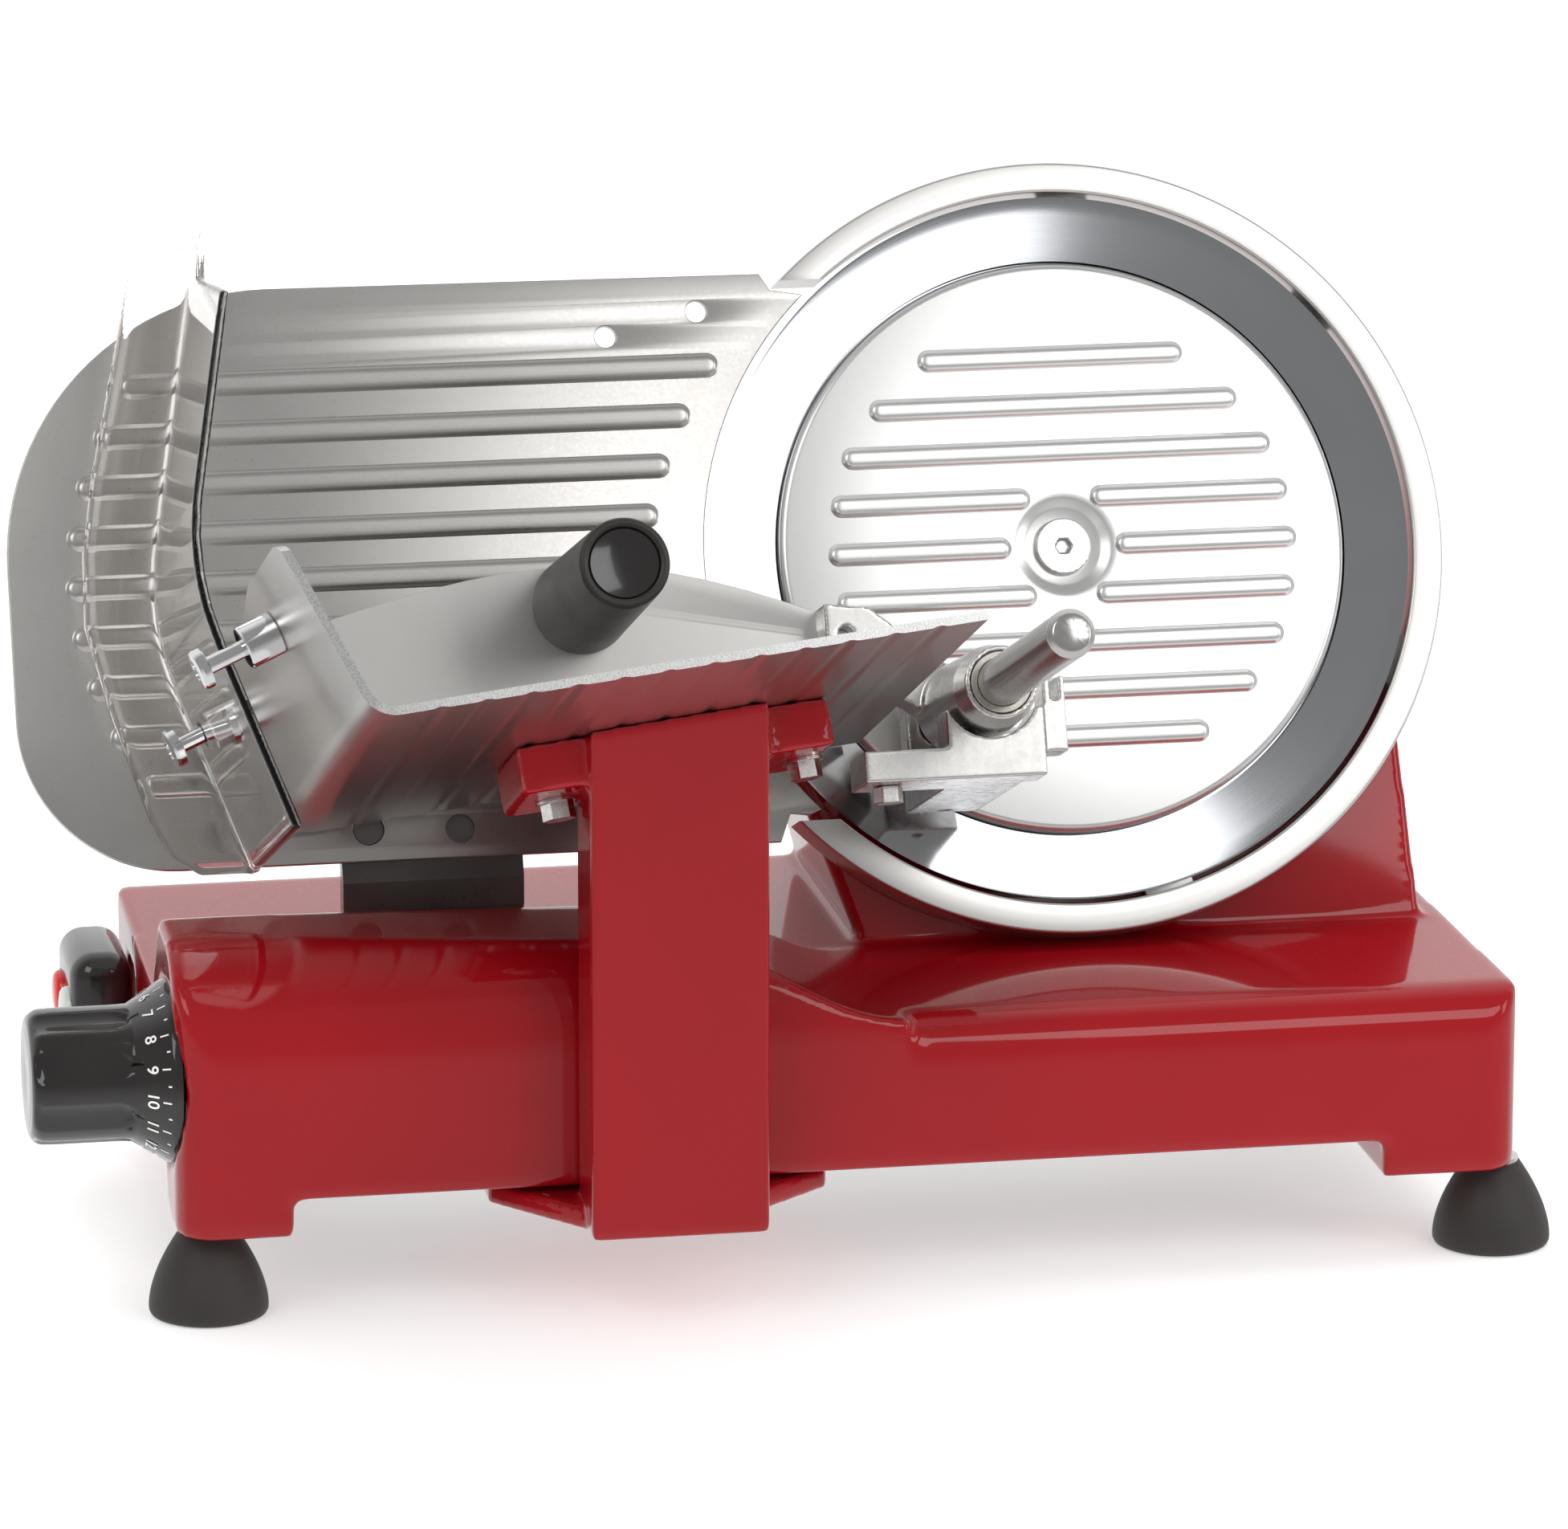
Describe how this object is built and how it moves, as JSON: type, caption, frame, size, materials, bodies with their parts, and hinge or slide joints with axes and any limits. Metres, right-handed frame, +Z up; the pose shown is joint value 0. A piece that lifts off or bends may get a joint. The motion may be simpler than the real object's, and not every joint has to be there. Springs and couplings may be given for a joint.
{
  "type": "deli meat slicer",
  "caption": "Gravity-feed meat slicer: tilted round blade with ring guard, sliding tray with pusher and clear hand guard, thickness dial and gauge plate on a red cast body.",
  "frame": {"origin": "centre of the bounding box on the table surface, under the feet", "axes": "+X along the carriage stroke towards the blade, +Y away from the operator, +Z up"},
  "size_m": [0.531, 0.377, 0.3579],
  "materials": {
    "red_paint": "gloss deep red stove enamel",
    "aluminium": "satin anodised",
    "cast_aluminium": "tumbled casting, machined faces brushed",
    "blade_steel": "mirror polished",
    "steel": "plain bright",
    "zinc": "bright zinc",
    "dark_bracket": "dark grey",
    "rubber": "matte black",
    "black_plastic": "gloss black",
    "handle_black": "satin black",
    "red_button": "gloss red",
    "white_button": "gloss white",
    "bronze": "sintered bronze",
    "nylon": "plain",
    "clear_guard": "clear polycarbonate",
    "motor_grey": "satin grey",
    "capacitor_white": "plain"
  },
  "bodies": {
    "machine": {"body_casting": "red_paint", "bottom_plate": "zinc", "foot_front_left": "rubber", "foot_front_right": "rubber", "foot_rear_left": "rubber", "foot_rear_right": "rubber", "foot_screws": "zinc", "guide_rod": "steel", "support_bar": "steel", "ring_guard": "aluminium", "ring_screws": "zinc", "blade_spindle": "steel", "blade_cover": "aluminium", "cover_bolt": "zinc", "drive_belt": "rubber", "motor": "motor_grey", "motor_bolts": "zinc", "capacitor": "capacitor_white", "switch_housing": "black_plastic", "button_springs": "steel", "cable_gland": "black_plastic", "gauge_guide": "steel", "dial_bush": "bronze"},
    "blade": {"blade": "blade_steel", "blade_pulley": "cast_aluminium", "blade_screws": "zinc", "blade_bearings": "steel"},
    "motor_rotor": {"motor_shaft": "steel", "motor_pulley": "cast_aluminium"},
    "stop_button": {"stop_button": "red_button"},
    "start_button": {"start_button": "white_button"},
    "gauge": {"gauge_plate": "aluminium", "gauge_carrier": "dark_bracket", "gauge_screws": "dark_bracket"},
    "dial": {"dial_knob": "black_plastic", "dial_shaft": "steel", "dial_cam": "cast_aluminium"},
    "carriage": {"carriage_arm": "red_paint", "carriage_bushes": "bronze", "roller_pin": "steel", "carriage_bolts": "zinc", "tray": "aluminium", "rod_bracket": "cast_aluminium", "bracket_bolt": "zinc", "pusher_rod": "steel", "rod_screw": "zinc", "hand_guard": "clear_guard", "guard_spacers": "blade_steel", "guard_screws": "blade_steel"},
    "roller": {"carriage_roller": "nylon"},
    "pusher_slider": {"pusher_bush": "bronze"},
    "pusher": {"pusher_arm": "cast_aluminium", "pusher_plate": "aluminium", "pusher_handle": "handle_black", "handle_cap": "black_plastic"}
  },
  "joints": [
    {"name": "blade_spin", "type": "hinge", "parent": "machine", "child": "blade", "pos_m": [0.1136, 0.0765, 0.23], "axis": [0, -0.9304, 0.3665], "continuous": true},
    {"name": "motor_spin", "type": "hinge", "parent": "machine", "child": "motor_rotor", "pos_m": [0.1236, 0.06593, 0.12131], "axis": [0, -0.9304, 0.3665], "continuous": true},
    {"name": "stop_press", "type": "slide", "parent": "machine", "child": "stop_button", "axis": [1, 0, 0], "range_m": [0, 0.0025], "stiffness_N_per_m": 300, "springref_m": -0.002},
    {"name": "start_press", "type": "slide", "parent": "machine", "child": "start_button", "axis": [1, 0, 0], "range_m": [0, 0.0025], "stiffness_N_per_m": 300, "springref_m": -0.002},
    {"name": "dial_turn", "type": "hinge", "parent": "machine", "child": "dial", "pos_m": [-0.224, -0.0155, 0.082], "axis": [-1, 0, 0], "range_deg": [-137.6, 212.6]},
    {"name": "gauge_slide", "type": "slide", "parent": "machine", "child": "gauge", "axis": [0, 0.9304, -0.3665], "range_m": [-0.0055, 0.0085]},
    {"name": "carriage_slide", "type": "slide", "parent": "machine", "child": "carriage", "axis": [1, 0, 0], "range_m": [-0.06, 0.18]},
    {"name": "roller_spin", "type": "hinge", "parent": "carriage", "child": "roller", "pos_m": [-0.051, -0.0285, 0.06055], "axis": [0, 1, 0], "continuous": true},
    {"name": "pusher_slide", "type": "slide", "parent": "carriage", "child": "pusher_slider", "axis": [0, -0.9304, 0.3665], "range_m": [-0.026, 0.1]},
    {"name": "pusher_swing", "type": "hinge", "parent": "pusher_slider", "child": "pusher", "pos_m": [0.0611, -0.03062, 0.20362], "axis": [0, 0.9304, -0.3665], "range_deg": [0, 150]}
  ],
  "couplings": [
    {"joint": "motor_spin", "follows": "blade_spin", "ratio": 3.4615},
    {"joint": "dial_turn", "follows": "gauge_slide", "rad_per_m": 436.33},
    {"joint": "roller_spin", "follows": "carriage_slide", "rad_per_m": 111.11}
  ]
}
